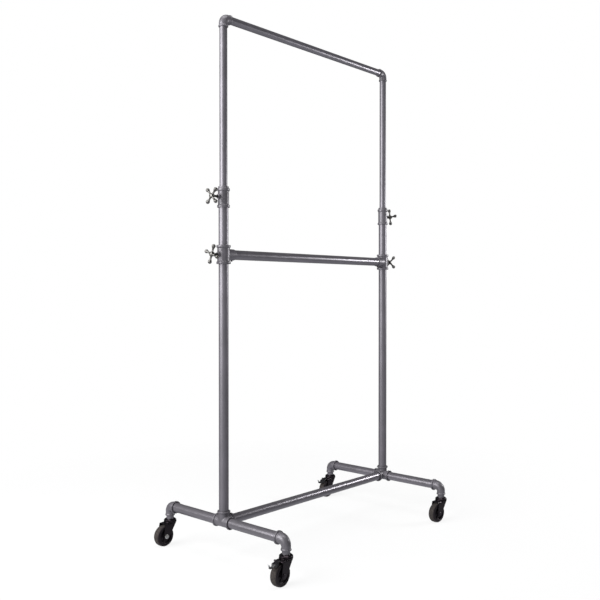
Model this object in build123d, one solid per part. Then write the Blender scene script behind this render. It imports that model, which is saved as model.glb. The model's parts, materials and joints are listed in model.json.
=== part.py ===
from build123d import *
import math
import os

# A rolling garment rack built from steel pipe and cast pipe fittings.
# Millimetres. +Z is up, +X runs along the hanging rails, +Y points to the rear.
# The origin is on the floor, midway between the four caster stems.

# ---------------------------------------------------------------- driving dimensions
UPRIGHT_SPAN = 914.0  # between the two upright axes
WHEELBASE = 580.0  # between the front and the rear caster stems
BASE_HEIGHT = 140.0  # axes of the base pipes
MID_HEIGHT = 1048.0  # axis of the lower hanging rail, as set
TOP_HEIGHT = 1847.0  # axis of the upper hanging rail, as set
COLLAR_HEIGHT = 1207.0  # underside of the clamp collars

LARGE_R = 16.7  # one-inch pipe: legs, stretcher, lower uprights, lower rail
LARGE_BORE_R = 14.1
SMALL_R = 13.35  # three-quarter-inch pipe: upper uprights, top rail, foot nipples
SMALL_BORE_R = 11.35
SEAT_GAP = 0.05  # radial gap of a pipe in its socket
SLIDING_GAP = 0.3  # radial gap of a part that slides on a pipe

# Cast fittings for the large pipe
TEE_REACH = 37.0  # from the centre to a socket's face
CAST_R = 18.5
CAST_BEAD_R = 22.4
CAST_BEAD = 7.0  # length of the raised bead at a socket's mouth
SOCKET_DEPTH = 18.0
ELBOW_SEAT = 13.0  # how far a pipe goes into an elbow
CAST_BLEND = 5.0

# Cast fittings for the small pipe
SMALL_CAST_R = 15.2
SMALL_BEAD_R = 17.0
SMALL_BEAD = 6.0
TOP_ELBOW_REACH = 30.0
TOP_ELBOW_BEND = 17.0

# Foot elbows: a large socket on the leg, a small one looking down
FOOT_LEG_REACH = 36.0
FOOT_DROP = 34.0
FOOT_BEND = 21.0

# Clamp collars
COLLAR_LENGTH = 72.0
COLLAR_R = 18.9
COLLAR_BEAD_R = 21.5
COLLAR_NECK_R = 18.1
COLLAR_SEAT = 24.0  # how far the lower upright goes into the collar
COLLAR_SCREW_Z = 36.0  # above the collar's underside
COLLAR_BEAD = 8.0
COLLAR_NECK = 7.0
COLLAR_BOSS_OUT = 27.0

# Sliding tees of the lower rail
SLIDE_HALF = 32.0
SLIDE_R = 21.4
SLIDE_BEAD_R = 24.4
SLIDE_BEAD = 8.0
BRANCH_REACH = 45.0
BRANCH_ROOT_R = 19.8
BRANCH_MOUTH_R = 19.2
BRANCH_SOCKET = 18.0
SLIDE_BOSS_OUT = 29.0
GRUB_R = 3.0
GRUB_LENGTH = 6.2
GRUB_OUT = 37.0  # from the upright's axis

# Clamp screws with cross handles
BOSS_R = 8.0
STUD_R = 4.0
STUD_GAP = 0.1
PAD_THICK = 4.0
PAD_NUB_R = 1.8
PAD_NUB = 3.0
HUB_OUT = 53.0  # plane of the handle's arms, from the upright's axis
HUB_R = 8.2
HUB_HALF = 7.0
ARM_BALL = 28.0  # ball centres, from the screw's axis
BALL_R = 6.6
ARM_ROOT_R = 4.3
ARM_WAIST_R = 3.1

# Telescoping
UPPER_UPRIGHT_BOTTOM = 880.0
GUIDE_LENGTH = 30.0
GUIDE_SPIGOT = 20.0
GUIDE_R = 13.85

# Casters
CASTER_TOP = 95.0
WHEEL_R = 37.5
TYRE_WIDTH = 27.0
CORE_R = 29.0
TRAIL = 30.0
AXLE_R = 4.0
FORK_INNER = 15.0  # half the gap between the fork's legs
FORK_SHEET = 2.5
CROWN_TOP = 83.0
CROWN_REAR = 35.0  # behind the stem
CROWN_FRONT = 15.0
LEG_END_R = 12.4
RACE_R = 22.5
RACE_LIP = 4.0  # how far the races' rims turn in
STEM_R = 5.5
KINGPIN_R = 4.0
BALL_TRACK_R = 15.0
RACE_BALL_R = 2.4
BALLS_PER_RACE = 12
RACE_LEVEL = 86.0  # height of the balls' centres
RACE_SPLIT = 0.6  # half the gap between the races
STEM_END = 127.0
KINGPIN_END = 75.0
KINGPIN_NUT = 4.4
KINGPIN_NUT_R = 7.4
SPACER_R = 6.0
BOLT_HEAD = 4.5
BOLT_HEAD_R = 7.0
NUT = 5.0
BOLT_TIP = 1.5  # how far the axle bolt stands out of its nut
HUB_CORE_R = 11.5
WEB_HALF = 7.5

# Brake pedals: hinge axis, and the plate's centre line from the hinge round to the foot tab,
# as (x, z) behind the stem
HINGE_X = -38.2
HINGE_Z = 81.1
HINGE_R = 3.0
HINGE_PIN_R = 1.5
PEDAL_HALF = 9.0
PEDAL_SHEET = 2.0
PEDAL_PATH = [(-40.0, 82.3), (-62.0, 79.0), (-70.0, 70.0), (-77.0, 70.5), (-89.0, 84.5)]
TAB_START = -64.0
TAB_HALF = 5.0
SHOE_LENGTH = 11.0
SHOE_DEPTH = 13.0  # below the plate's centre line
SHOE_HALF = 8.0
SHOE_GAP = 0.3  # off the tread, with the brake just released
LUG_START = 9.4  # from the caster's middle plane
LUG_WEB = 5.0

# Rest angles of the casters about their stems, in degrees from trailing along -X
CASTER_TURN = {"front_left": 5.0, "rear_left": 1.5, "front_right": -4.0, "rear_right": 2.0}
BRAKED = ("front_left", "rear_right")

# Rest angles of the four cross handles about their screws, in degrees
HANDLE_TURN = {"collar_left": 45.0, "collar_right": 7.0, "slide_left": 21.0, "slide_right": 45.0}

SIDES = {"left": -1, "right": 1}
ENDS = {"front": -1, "rear": 1}
CORNERS = {f"{end}_{side}": (SIDES[side], ENDS[end]) for end in ENDS for side in SIDES}


# ---------------------------------------------------------------- shape helpers
def turned(profile):
    """A solid of revolution about Z from (radius, z) corners."""
    wire = Wire.make_polygon([Vector(r, 0, z) for r, z in profile], close=True)
    return revolve(Face(wire), Axis.Z)


def rings(solid, radius, z=None):
    """The circular edges of a solid about Z that have this radius and, if given, this height."""
    found = []
    for edge in solid.edges().filter_by(GeomType.CIRCLE):
        on_level = z is None or abs(edge.center().Z - z) < 0.01
        if abs(edge.radius - radius) < 0.01 and on_level:
            found.append(edge)
    return found


def rod(start, end, radius):
    """A solid round bar between two points."""
    run = Vector(*end) - Vector(*start)
    return extrude(Plane(origin=start, z_dir=run) * Circle(radius), run.length)


def pipe(start, end, outer, bore):
    """A straight pipe between two points."""
    run = Vector(*end) - Vector(*start)
    return extrude(Plane(origin=start, z_dir=run) * (Circle(outer) - Circle(bore)), run.length)


def branch(reach, body_r, bead_r, bead):
    """One arm of a cast fitting, from the origin up Z, with a raised bead at its mouth."""
    step = reach - bead
    solid = turned([(0, 0), (body_r, 0), (body_r, step), (bead_r, step), (bead_r, reach), (0, reach)])
    rise = bead_r - body_r
    solid = fillet(rings(solid, bead_r), min(bead * 0.4, rise * 0.8))
    return fillet(rings(solid, body_r, step), 0.8)


# Turns that take +Z to each direction
UP = Rot(0, 0, 0)
DOWN = Rot(180, 0, 0)
FRONT = Rot(90, 0, 0)
REAR = Rot(-90, 0, 0)
PLUS_X = Rot(0, 90, 0)
MINUS_X = Rot(0, -90, 0)


def socket_cut(reach, socket_r, passage_r):
    """What a socket and its passage take out of a fitting's arm."""
    shoulder = reach - SOCKET_DEPTH
    return turned([(0, -1), (passage_r, -1), (passage_r, shoulder), (socket_r, shoulder),
                   (socket_r, reach + 1), (0, reach + 1)])


# ---------------------------------------------------------------- base frame
def base_tee(side):
    """Side-outlet tee: front and rear legs, the upright, and the stretcher towards the middle."""
    arm = branch(TEE_REACH, CAST_R, CAST_BEAD_R, CAST_BEAD)
    body = UP * arm + FRONT * arm + REAR * arm
    seams = [edge for edge in body.edges() if edge.geom_type == GeomType.ELLIPSE]
    body = fillet(seams, CAST_BLEND)
    body = body + MINUS_X * arm
    hole = socket_cut(TEE_REACH, LARGE_R + SEAT_GAP, LARGE_BORE_R)
    for turn in (UP, FRONT, REAR, MINUS_X):
        body = body - turn * hole
    if side < 0:
        body = Rot(0, 0, 180) * body
    return Pos(side * UPRIGHT_SPAN / 2, 0, BASE_HEIGHT) * body


def leg_pipe(side, end):
    """Leg from the base tee to the foot elbow."""
    x = side * UPRIGHT_SPAN / 2
    inner = end * (TEE_REACH - SOCKET_DEPTH)
    outer = end * (WHEELBASE / 2 - FOOT_LEG_REACH + ELBOW_SEAT)
    return pipe((x, inner, BASE_HEIGHT), (x, outer, BASE_HEIGHT), LARGE_R, LARGE_BORE_R)


def base_stretcher():
    """Pipe that joins the two base tees."""
    end = UPRIGHT_SPAN / 2 - TEE_REACH + SOCKET_DEPTH
    return pipe((-end, 0, BASE_HEIGHT), (end, 0, BASE_HEIGHT), LARGE_R, LARGE_BORE_R)


def lower_upright(side):
    """Outer pipe of the telescoping upright."""
    x = side * UPRIGHT_SPAN / 2
    bottom = BASE_HEIGHT + TEE_REACH - SOCKET_DEPTH
    top = COLLAR_HEIGHT + COLLAR_SEAT
    return pipe((x, 0, bottom), (x, 0, top), LARGE_R, LARGE_BORE_R)


def bend_sections(radius_from, radius_to, bend):
    """Circles round a quarter bend in the YZ plane, from the -Y side to the -Z side."""
    sections = []
    for step in range(5):
        turn = math.radians(22.5 * step)
        centre = (0, -bend + bend * math.sin(turn), -bend + bend * math.cos(turn))
        plane = Plane(origin=centre, z_dir=(0, math.cos(turn), -math.sin(turn)))
        sections.append(plane * Circle(radius_from + (radius_to - radius_from) * step / 4))
    return sections


def elbow(bend, side_arm, drop_arm):
    """Quarter bend with a socket towards -Y and one downwards.

    Each arm is (reach, cast radius, bead radius, bead length, pipe radius, bore radius).
    """
    side_reach, side_cast, side_bead_r, side_bead, side_pipe, side_bore = side_arm
    drop_reach, drop_cast, drop_bead_r, drop_bead, drop_pipe, drop_bore = drop_arm
    body = loft(bend_sections(side_cast, drop_cast, bend))
    body += Pos(0, -bend, 0) * FRONT * branch(side_reach - bend, side_cast, side_bead_r, side_bead)
    body += Pos(0, 0, -bend) * DOWN * branch(drop_reach - bend, drop_cast, drop_bead_r, drop_bead)
    body -= loft(bend_sections(side_bore, drop_bore, bend))
    side_seat = -side_reach + ELBOW_SEAT
    drop_seat = -drop_reach + ELBOW_SEAT
    body -= rod((0, -side_reach - 1, 0), (0, side_seat, 0), side_pipe + SEAT_GAP)
    body -= rod((0, 0, -drop_reach - 1), (0, 0, drop_seat), drop_pipe + SEAT_GAP)
    if side_seat < -bend:
        body -= rod((0, side_seat, 0), (0, -bend, 0), side_bore)
    return body


def foot_elbow(side, end):
    """Reducing elbow: the leg comes in along Y, and the caster's nipple leaves downwards."""
    leg_arm = (FOOT_LEG_REACH, CAST_R, CAST_BEAD_R, CAST_BEAD, LARGE_R, LARGE_BORE_R)
    drop_arm = (FOOT_DROP, SMALL_CAST_R, SMALL_BEAD_R, SMALL_BEAD, SMALL_R, SMALL_BORE_R)
    body = elbow(FOOT_BEND, leg_arm, drop_arm)
    if end < 0:
        body = Rot(0, 0, 180) * body
    return Pos(side * UPRIGHT_SPAN / 2, end * WHEELBASE / 2, BASE_HEIGHT) * body


def over_casters(make):
    """One solid at each caster stem."""
    places = [Pos(sx * UPRIGHT_SPAN / 2, sy * WHEELBASE / 2, 0) for sx, sy in CORNERS.values()]
    return Compound(children=[place * make() for place in places])


def foot_nipple():
    """Short pipe between a foot elbow and its caster."""
    top = BASE_HEIGHT - FOOT_DROP + ELBOW_SEAT
    return pipe((0, 0, CASTER_TOP + 0.6), (0, 0, top), SMALL_R, SMALL_BORE_R)


def stem_insert():
    """Flanged steel bush pressed into the nipple, which takes the caster's stem."""
    top = BASE_HEIGHT - FOOT_DROP + ELBOW_SEAT - 1
    flange_r = SMALL_R - 0.6
    return turned([(STEM_R + SEAT_GAP, CASTER_TOP), (flange_r, CASTER_TOP),
                   (flange_r, CASTER_TOP + 0.6), (SMALL_BORE_R - SEAT_GAP, CASTER_TOP + 0.6),
                   (SMALL_BORE_R - SEAT_GAP, top), (STEM_R + SEAT_GAP, top)])


def race_groove(z):
    """The ring that the swivel balls run in."""
    track = Plane.XZ * Pos(BALL_TRACK_R, z) * Circle(RACE_BALL_R + SEAT_GAP)
    return revolve(track, Axis.Z)


def caster_stem():
    """Stem, upper race cup and kingpin in one turned piece."""
    cup_base = RACE_LEVEL + RACE_SPLIT
    body = turned([(0, KINGPIN_END), (KINGPIN_R, KINGPIN_END), (KINGPIN_R, cup_base),
                   (RACE_R, cup_base), (RACE_R, CASTER_TOP - RACE_LIP), (RACE_R - RACE_LIP, CASTER_TOP),
                   (STEM_R, CASTER_TOP), (STEM_R, STEM_END), (0, STEM_END)])
    body = chamfer(rings(body, STEM_R, STEM_END), 1)
    return body - race_groove(RACE_LEVEL)


def kingpin_nut():
    """Nut that holds the fork up on the kingpin."""
    bottom = KINGPIN_END + 1
    nut = extrude(Plane.XY.offset(bottom) * RegularPolygon(KINGPIN_NUT_R, 6), KINGPIN_NUT)
    return nut - rod((0, 0, bottom - 1), (0, 0, bottom + KINGPIN_NUT + 1), KINGPIN_R)


def swivel_balls():
    """The balls between the two races of each caster."""
    balls = []
    for sx, sy in CORNERS.values():
        for step in range(BALLS_PER_RACE):
            turn = math.radians(360 * step / BALLS_PER_RACE)
            x = sx * UPRIGHT_SPAN / 2 + BALL_TRACK_R * math.cos(turn)
            y = sy * WHEELBASE / 2 + BALL_TRACK_R * math.sin(turn)
            balls.append(Pos(x, y, RACE_LEVEL) * Sphere(RACE_BALL_R))
    return Compound(children=balls)


# ---------------------------------------------------------------- clamp collars and sliding tees
def screw_boss(out, height):
    """Round boss for the clamp screw, reaching out along -X."""
    boss = rod((0, 0, height), (-out, 0, height), BOSS_R)
    return fillet([edge for edge in boss.edges() if abs(edge.center().X + out) < 0.01], 1.2)


def screw_hole(out, height):
    """Threaded hole of the boss, plain at its thread's crest."""
    return rod((0, 0, height), (-out - 1, 0, height), STUD_R + STUD_GAP)


def clamp_collar(side):
    """Reducing collar on the lower upright; the upper upright slides through its neck."""
    neck = COLLAR_LENGTH - COLLAR_NECK
    body = turned([(0, 0), (COLLAR_BEAD_R, 0), (COLLAR_BEAD_R, COLLAR_BEAD),
                   (COLLAR_R, COLLAR_BEAD), (COLLAR_R, neck - COLLAR_BEAD),
                   (COLLAR_BEAD_R, neck - COLLAR_BEAD), (COLLAR_BEAD_R, neck),
                   (COLLAR_NECK_R, neck), (COLLAR_NECK_R, COLLAR_LENGTH), (0, COLLAR_LENGTH)])
    body = fillet(rings(body, COLLAR_BEAD_R), 1.6)
    body = fillet(rings(body, COLLAR_NECK_R, COLLAR_LENGTH), 1.5)
    body += screw_boss(COLLAR_BOSS_OUT, COLLAR_SCREW_Z)
    body -= rod((0, 0, -1), (0, 0, COLLAR_SEAT), LARGE_R + SEAT_GAP)
    body -= rod((0, 0, COLLAR_SEAT - 1), (0, 0, COLLAR_LENGTH + 1), SMALL_R + SLIDING_GAP)
    body -= screw_hole(COLLAR_BOSS_OUT, COLLAR_SCREW_Z)
    if side > 0:
        body = Rot(0, 0, 180) * body
    return Pos(side * UPRIGHT_SPAN / 2, 0, COLLAR_HEIGHT) * body


def slide_tee(side):
    """Sleeve that slides on the lower upright, with a socket for the lower rail."""
    half = turned([(0, -1), (SLIDE_R, -1), (SLIDE_R, SLIDE_HALF - SLIDE_BEAD),
                   (SLIDE_BEAD_R, SLIDE_HALF - SLIDE_BEAD), (SLIDE_BEAD_R, SLIDE_HALF),
                   (0, SLIDE_HALF)])
    half = fillet(rings(half, SLIDE_BEAD_R), 1.8)
    body = half + DOWN * half
    arm = turned([(0, 0), (BRANCH_ROOT_R, 0), (BRANCH_ROOT_R, SLIDE_R + 2),
                  (BRANCH_MOUTH_R, BRANCH_REACH), (0, BRANCH_REACH)])
    arm = fillet(rings(arm, BRANCH_MOUTH_R), 0.8)
    body += PLUS_X * arm
    body += screw_boss(SLIDE_BOSS_OUT, 0)
    body -= rod((0, 0, -SLIDE_HALF - 1), (0, 0, SLIDE_HALF + 1), LARGE_R + SLIDING_GAP)
    seat = BRANCH_REACH - BRANCH_SOCKET
    body -= rod((seat, 0, 0), (BRANCH_REACH + 1, 0, 0), LARGE_R + SEAT_GAP)
    body -= rod((GRUB_OUT, 0, 0), (GRUB_OUT, 0, -SLIDE_BEAD_R), GRUB_R)
    body -= screw_hole(SLIDE_BOSS_OUT, 0)
    if side > 0:
        body = Rot(0, 0, 180) * body
    return Pos(side * UPRIGHT_SPAN / 2, 0, MID_HEIGHT) * body


def mid_rail():
    """Lower hanging rail, between the sliding tees."""
    end = UPRIGHT_SPAN / 2 - BRANCH_REACH + BRANCH_SOCKET
    return pipe((-end, 0, MID_HEIGHT), (end, 0, MID_HEIGHT), LARGE_R, LARGE_BORE_R)


def tee_grub_screws():
    """Socket grub screws under the sliding tees, which hold the lower rail."""
    screws = []
    for side in SIDES.values():
        x = side * (UPRIGHT_SPAN / 2 - GRUB_OUT)
        top = MID_HEIGHT - LARGE_R - SEAT_GAP
        screw = rod((x, 0, top), (x, 0, top - GRUB_LENGTH), GRUB_R)
        socket = Plane(origin=(x, 0, top - GRUB_LENGTH)) * RegularPolygon(GRUB_R * 0.6, 6)
        screws.append(screw - extrude(socket, GRUB_R))
    return Compound(children=screws)


# ---------------------------------------------------------------- clamp screws
def clamp_frame(place):
    """Where a clamp screw sits: local -X is outward along the screw, from the upright's axis."""
    name, side_name = place.split("_")
    side = SIDES[side_name]
    height = COLLAR_HEIGHT + COLLAR_SCREW_Z if name == "collar" else MID_HEIGHT
    turn = Rot(0, 0, 180) if side > 0 else Rot(0, 0, 0)
    return Pos(side * UPRIGHT_SPAN / 2, 0, height) * turn


def clamp_start(place):
    """Distance from the upright's axis to the pad's face."""
    held = SMALL_R if place.startswith("collar") else LARGE_R
    return held + SLIDING_GAP


def clamp_pad(place):
    """Brass pad that bears on the upright and doesn't turn with the screw."""
    start = clamp_start(place)
    pad = rod((-start, 0, 0), (-start - PAD_THICK, 0, 0), STUD_R - STUD_GAP)
    pad += rod((-start - PAD_THICK, 0, 0), (-start - PAD_THICK - PAD_NUB, 0, 0), PAD_NUB_R)
    return clamp_frame(place) * pad


def clamp_stud(place):
    """Threaded stud between the pad and the cross handle."""
    start = clamp_start(place) + PAD_THICK + STUD_GAP
    end = HUB_OUT + HUB_HALF - 2
    stud = rod((-start, 0, 0), (-end, 0, 0), STUD_R)
    stud -= rod((-start + 1, 0, 0), (-start - PAD_NUB - 0.5, 0, 0), PAD_NUB_R + SEAT_GAP)
    return clamp_frame(place) * stud


def handle_arm():
    """One arm of the cross handle along Z: a waisted stem that swells into a teardrop ball."""
    waist = ARM_BALL * 0.5
    neck = ARM_BALL - BALL_R * 0.9
    outline = Spline((ARM_ROOT_R, 0, 4), (ARM_WAIST_R, 0, waist),
                     (BALL_R * 0.8, 0, neck), (BALL_R, 0, ARM_BALL),
                     (0, 0, ARM_BALL + BALL_R), tangents=[(-0.3, 0, 1), (-1, 0, 0)])
    closing = Polyline((0, 0, ARM_BALL + BALL_R), (0, 0, 4), (ARM_ROOT_R, 0, 4))
    return revolve(make_face([outline, closing]), Axis.Z)


def cross_handle(place):
    """Four-armed handle, with its hub on the stud."""
    hub = turned([(0, -HUB_HALF), (HUB_R - 1.6, -HUB_HALF), (HUB_R, -HUB_HALF + 1.6),
                  (HUB_R, HUB_HALF - 2.5), (HUB_R - 2.5, HUB_HALF), (0, HUB_HALF)])
    handle = Pos(-HUB_OUT, 0, 0) * MINUS_X * hub
    arm = handle_arm()
    for step in range(4):
        handle += Pos(-HUB_OUT, 0, 0) * Rot(HANDLE_TURN[place] + 90 * step, 0, 0) * arm
    bore_end = HUB_OUT + HUB_HALF - 2
    handle -= rod((-HUB_OUT + HUB_HALF + 1, 0, 0), (-bore_end, 0, 0), STUD_R + SEAT_GAP / 2)
    return clamp_frame(place) * handle


# ---------------------------------------------------------------- upper frame
def upper_upright(side):
    """Inner pipe of the telescoping upright."""
    x = side * UPRIGHT_SPAN / 2
    top = TOP_HEIGHT - TOP_ELBOW_REACH + ELBOW_SEAT
    return pipe((x, 0, UPPER_UPRIGHT_BOTTOM), (x, 0, top), SMALL_R, SMALL_BORE_R)


def upright_guides():
    """Plastic plugs in the lower ends of the upper uprights, which centre them in the lower ones."""
    plug = turned([(0, -GUIDE_LENGTH), (GUIDE_R - 1.5, -GUIDE_LENGTH), (GUIDE_R, -GUIDE_LENGTH + 1.5),
                   (GUIDE_R, 0), (SMALL_BORE_R - SEAT_GAP, 0), (SMALL_BORE_R - SEAT_GAP, GUIDE_SPIGOT),
                   (0, GUIDE_SPIGOT)])
    places = [Pos(side * UPRIGHT_SPAN / 2, 0, UPPER_UPRIGHT_BOTTOM) for side in SIDES.values()]
    return Compound(children=[place * plug for place in places])


def top_elbow(side):
    """Elbow between an upper upright and the top rail."""
    arm = (TOP_ELBOW_REACH, SMALL_CAST_R, SMALL_BEAD_R, SMALL_BEAD, SMALL_R, SMALL_BORE_R)
    body = elbow(TOP_ELBOW_BEND, arm, arm)
    return Pos(side * UPRIGHT_SPAN / 2, 0, TOP_HEIGHT) * Rot(0, 0, -90 * side) * body


def top_rail():
    """Upper hanging rail."""
    end = UPRIGHT_SPAN / 2 - TOP_ELBOW_REACH + ELBOW_SEAT
    return pipe((-end, 0, TOP_HEIGHT), (end, 0, TOP_HEIGHT), SMALL_R, SMALL_BORE_R)


# ---------------------------------------------------------------- casters
def caster_frame(corner):
    """Where a caster stands: local origin on the floor under the stem, wheel trailing to -X."""
    sx, sy = CORNERS[corner]
    turn = Rot(0, 0, CASTER_TURN[corner])
    return Pos(sx * UPRIGHT_SPAN / 2, sy * WHEELBASE / 2, 0) * turn


def fork_leg(inner):
    """One cheek of the fork, from the crown down round the axle."""
    end_circle = Pos(-TRAIL, WHEEL_R) * Circle(LEG_END_R)
    crown_edge = Line((-CROWN_REAR, CROWN_TOP), (CROWN_FRONT, CROWN_TOP))
    outline = make_hull([*end_circle.edges(), crown_edge])
    plane = Plane(origin=(0, inner, 0), x_dir=(1, 0, 0), z_dir=(0, -1, 0))
    sheet = -FORK_SHEET if inner > 0 else FORK_SHEET
    return extrude(plane * outline, sheet)


def pedal_lug(side):
    """Ear of a braked fork that holds one end of the pedal's hinge pin."""
    end = FORK_INNER + FORK_SHEET
    ear = rod((HINGE_X, side * LUG_START, HINGE_Z), (HINGE_X, side * end, HINGE_Z), HINGE_R)
    web = Box(LUG_WEB, end - LUG_START, FORK_SHEET, align=(Align.MIN, Align.CENTER, Align.MAX))
    return ear + Pos(HINGE_X, side * (LUG_START + end) / 2, CROWN_TOP) * web


def fork(corner):
    """Pressed fork with the lower race on its crown."""
    half_width = FORK_INNER + FORK_SHEET
    crown_length = CROWN_REAR + CROWN_FRONT
    crown_middle = (CROWN_FRONT - CROWN_REAR) / 2
    body = Pos(crown_middle, 0, CROWN_TOP - FORK_SHEET / 2) * Box(crown_length, 2 * half_width, FORK_SHEET)
    body += fork_leg(FORK_INNER) + fork_leg(-FORK_INNER)
    race_top = RACE_LEVEL - RACE_SPLIT
    body += turned([(0, CROWN_TOP - FORK_SHEET), (RACE_R - RACE_LIP, CROWN_TOP - FORK_SHEET),
                    (RACE_R, CROWN_TOP), (RACE_R + 0.8, race_top), (0, race_top)])
    body -= rod((0, 0, KINGPIN_END), (0, 0, CASTER_TOP), KINGPIN_R + STUD_GAP)
    body -= race_groove(RACE_LEVEL)
    axle_y = half_width + 1
    body -= rod((-TRAIL, -axle_y, WHEEL_R), (-TRAIL, axle_y, WHEEL_R), AXLE_R)
    if corner in BRAKED:
        body += pedal_lug(-1) + pedal_lug(1)
        body -= rod((HINGE_X, -axle_y, HINGE_Z), (HINGE_X, axle_y, HINGE_Z), HINGE_PIN_R)
    return caster_frame(corner) * body


def hexagon_bar(start, length, radius):
    """Hexagonal bar along Y from a point."""
    plane = Plane(origin=start, x_dir=(1, 0, 0), z_dir=(0, 1 if length > 0 else -1, 0))
    return extrude(plane * RegularPolygon(radius, 6), abs(length))


def axle_set(corner):
    """Axle bolt, nut and the spacer the wheel turns on, and on a braked caster the hinge pin."""
    half_width = FORK_INNER + FORK_SHEET
    spacer_end = FORK_INNER - SEAT_GAP
    bolt_end = half_width + NUT + BOLT_TIP
    bolt = rod((-TRAIL, -half_width, WHEEL_R), (-TRAIL, bolt_end, WHEEL_R), AXLE_R)
    head = hexagon_bar((-TRAIL, -half_width, WHEEL_R), -BOLT_HEAD, BOLT_HEAD_R)
    nut = hexagon_bar((-TRAIL, half_width, WHEEL_R), NUT, BOLT_HEAD_R)
    nut -= rod((-TRAIL, half_width - 1, WHEEL_R), (-TRAIL, bolt_end, WHEEL_R), AXLE_R)
    spacer = pipe((-TRAIL, -spacer_end, WHEEL_R), (-TRAIL, spacer_end, WHEEL_R), SPACER_R, AXLE_R)
    pieces = [bolt + head, nut, spacer]
    if corner in BRAKED:
        end = half_width + 0.6
        pieces.append(rod((HINGE_X, -end, HINGE_Z), (HINGE_X, end, HINGE_Z), HINGE_PIN_R))
    return caster_frame(corner) * Compound(children=pieces)


def wheel_core(corner):
    """Moulded wheel centre with a hub, a thin web and a rim."""
    half_rim = TYRE_WIDTH / 2
    half_hub = FORK_INNER - 0.5
    outline = [(SPACER_R + SEAT_GAP, -half_hub), (HUB_CORE_R, -half_hub), (HUB_CORE_R + 1, -WEB_HALF),
               (CORE_R - 4, -WEB_HALF), (CORE_R - 3, -half_rim + 0.5), (CORE_R, -half_rim + 0.5)]
    mirrored = [(r, -z) for r, z in reversed(outline)]
    core = turned(outline + mirrored)
    return caster_frame(corner) * Pos(-TRAIL, 0, WHEEL_R) * FRONT * core


def tyre(corner):
    """Solid tyre with a crowned tread and rounded shoulders."""
    half = TYRE_WIDTH / 2
    shoulder = 5.0
    low = WHEEL_R - 1.2
    tread = ThreePointArc((low, 0, -half + shoulder), (WHEEL_R, 0, 0), (low, 0, half - shoulder))
    upper = ThreePointArc((low, 0, half - shoulder), (low - 1.6, 0, half - 1.5), (low - 5, 0, half))
    lower = ThreePointArc((low, 0, -half + shoulder), (low - 1.6, 0, -half + 1.5), (low - 5, 0, -half))
    wall = Polyline((low - 5, 0, half), (CORE_R, 0, half), (CORE_R, 0, -half), (low - 5, 0, -half))
    ring = revolve(make_face([tread, upper, wall, lower]), Axis.Z)
    return caster_frame(corner) * Pos(-TRAIL, 0, WHEEL_R) * FRONT * ring


def brake_shoe():
    """Block under the pedal's plate, hollowed to the tread."""
    (x_from, z_from), (x_to, z_to) = PEDAL_PATH[:2]
    slope = math.degrees(math.atan2(z_from - z_to, x_from - x_to))
    block = Box(SHOE_LENGTH, 2 * SHOE_HALF, SHOE_DEPTH, align=(Align.CENTER, Align.CENTER, Align.MAX))
    block = Pos((x_from + x_to) / 2, 0, (z_from + z_to) / 2) * Rot(0, -slope, 0) * block
    sweep = WHEEL_R + SHOE_GAP
    return block - rod((-TRAIL, -PEDAL_HALF, WHEEL_R), (-TRAIL, PEDAL_HALF, WHEEL_R), sweep)


def brake_pedal(corner):
    """Foot pedal hinged behind the crown: pressed down it brakes the tread, lifted it frees it."""
    profile = offset(Polyline(*PEDAL_PATH), PEDAL_SHEET / 2, side=Side.BOTH)
    plane = Plane(origin=(0, PEDAL_HALF, 0), x_dir=(1, 0, 0), z_dir=(0, -1, 0))
    body = extrude(plane * make_face(profile.edges()), 2 * PEDAL_HALF)
    trim = Box(PEDAL_HALF * 3, PEDAL_HALF, HINGE_Z * 2, align=(Align.MAX, Align.MIN, Align.CENTER))
    body -= Pos(TAB_START, TAB_HALF, HINGE_Z) * trim
    body -= Pos(TAB_START, -TAB_HALF - PEDAL_HALF, HINGE_Z) * trim
    body += brake_shoe()
    body += rod((HINGE_X, -PEDAL_HALF, HINGE_Z), (HINGE_X, PEDAL_HALF, HINGE_Z), HINGE_R)
    hole_end = PEDAL_HALF + 1
    body -= rod((HINGE_X, -hole_end, HINGE_Z), (HINGE_X, hole_end, HINGE_Z), HINGE_PIN_R + SEAT_GAP)
    return caster_frame(corner) * body


# ---------------------------------------------------------------- the assembly
def build_nodes():
    """Every node's name and shape."""
    nodes = {}
    for name, side in SIDES.items():
        nodes[f"base_tee_{name}"] = base_tee(side)
        nodes[f"lower_upright_{name}"] = lower_upright(side)
        nodes[f"clamp_collar_{name}"] = clamp_collar(side)
        nodes[f"slide_tee_{name}"] = slide_tee(side)
        nodes[f"upper_upright_{name}"] = upper_upright(side)
        nodes[f"top_elbow_{name}"] = top_elbow(side)
    for corner, (side, end) in CORNERS.items():
        nodes[f"leg_pipe_{corner}"] = leg_pipe(side, end)
        nodes[f"foot_elbow_{corner}"] = foot_elbow(side, end)
        nodes[f"fork_{corner}"] = fork(corner)
        nodes[f"axle_set_{corner}"] = axle_set(corner)
        nodes[f"wheel_core_{corner}"] = wheel_core(corner)
        nodes[f"tyre_{corner}"] = tyre(corner)
    for corner in BRAKED:
        nodes[f"brake_pedal_{corner}"] = brake_pedal(corner)
    for place in HANDLE_TURN:
        nodes[f"clamp_pad_{place}"] = clamp_pad(place)
        nodes[f"clamp_stud_{place}"] = clamp_stud(place)
        nodes[f"cross_handle_{place}"] = cross_handle(place)
    nodes["base_stretcher"] = base_stretcher()
    nodes["foot_nipples"] = over_casters(foot_nipple)
    nodes["stem_inserts"] = over_casters(stem_insert)
    nodes["caster_stems"] = over_casters(caster_stem)
    nodes["kingpin_nuts"] = over_casters(kingpin_nut)
    nodes["swivel_balls"] = swivel_balls()
    nodes["mid_rail"] = mid_rail()
    nodes["tee_grub_screws"] = tee_grub_screws()
    nodes["upright_guides"] = upright_guides()
    nodes["top_rail"] = top_rail()
    return nodes


os.makedirs("parts", exist_ok=True)
for node, shape in build_nodes().items():
    export_step(shape, f"parts/{node}.step")
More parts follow.
